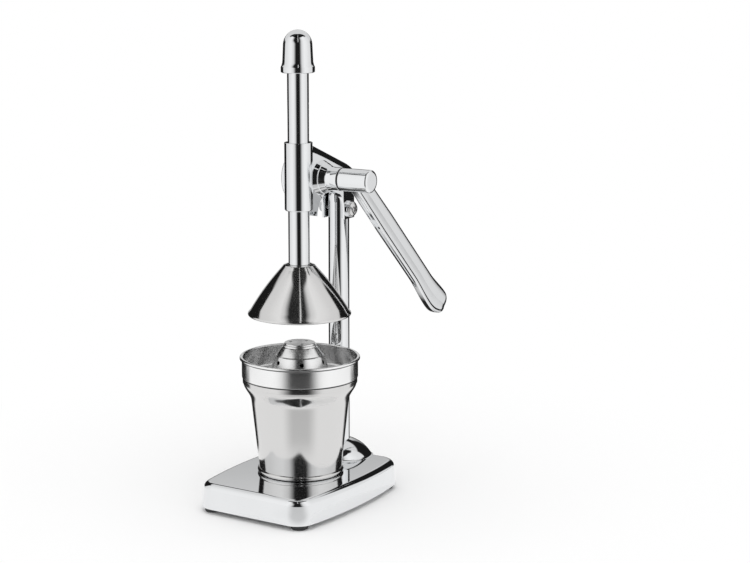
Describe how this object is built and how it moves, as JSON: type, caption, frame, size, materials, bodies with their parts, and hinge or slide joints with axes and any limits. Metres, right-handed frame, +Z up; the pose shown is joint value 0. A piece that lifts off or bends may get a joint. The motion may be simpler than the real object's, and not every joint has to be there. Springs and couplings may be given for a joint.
{
  "type": "lever citrus juicer",
  "caption": "Chromed lever juicer: bowed base, column with rack and pinion head, press cone on a toothed rod, flared juice cup with domed strainer.",
  "frame": {"origin": "on the table, under the middle of the box round the juicer in the drawn position", "axes": "+X towards the lever side, +Y from the cup to the column, +Z up"},
  "size_m": [0.116, 0.24, 0.388],
  "materials": {
    "cast_chrome": "polished chrome plate over a zinc casting",
    "bar_chrome": "polished chrome plate over steel bar",
    "rubber_feet": "matte black rubber",
    "screw_steel": "zinc plated steel",
    "clamp_steel": "bright steel",
    "shaft_steel": "ground steel",
    "gear_steel": "machined steel",
    "seal_black": "black plastic washer",
    "cone_steel": "polished stainless sheet",
    "cup_steel": "mirror polished stainless sheet",
    "strainer_steel": "brushed stainless sheet"
  },
  "bodies": {
    "frame": {"base": "cast_chrome", "foot_front_left": "rubber_feet", "foot_front_right": "rubber_feet", "foot_rear_left": "rubber_feet", "foot_rear_right": "rubber_feet", "foot_screw_front_left": "screw_steel", "foot_screw_front_right": "screw_steel", "foot_screw_rear_left": "screw_steel", "foot_screw_rear_right": "screw_steel", "column": "bar_chrome", "column_bolt": "screw_steel", "column_washer": "screw_steel", "head": "cast_chrome", "clamp_screw": "clamp_steel", "clamp_nut": "screw_steel", "gear_cover": "cast_chrome", "cover_screw_rear": "screw_steel", "cover_screw_upper": "screw_steel", "cover_screw_lower": "screw_steel"},
    "lever": {"lever": "cast_chrome", "pinion_shaft": "shaft_steel", "pinion": "gear_steel", "pinion_pin": "shaft_steel", "set_screw": "shaft_steel", "hub_washer": "seal_black"},
    "press": {"rod": "bar_chrome", "cap": "bar_chrome", "cone": "cone_steel", "cone_screw": "clamp_steel", "cone_washer": "screw_steel"},
    "cup": {"cup": "cup_steel"},
    "strainer": {"strainer": "strainer_steel"}
  },
  "joints": [
    {"name": "lever_pivot", "type": "hinge", "parent": "frame", "child": "lever", "pos_m": [0, -0.025, 0.268], "axis": [1, 0, 0], "range_deg": [-29.7, 212.2]},
    {"name": "press_slide", "type": "slide", "parent": "frame", "child": "press", "axis": [0, 0, -1], "range_m": [-0.007, 0.05]},
    {"name": "cup_slide", "type": "slide", "parent": "frame", "child": "cup", "axis": [0, -1, 0], "range_m": [0, 0.1]},
    {"name": "strainer_turn", "type": "hinge", "parent": "cup", "child": "strainer", "pos_m": [0, -0.044, 0.11], "axis": [0, 0, 1], "continuous": true}
  ],
  "couplings": [
    {"joint": "press_slide", "follows": "lever_pivot", "m_per_rad": 0.0135}
  ]
}
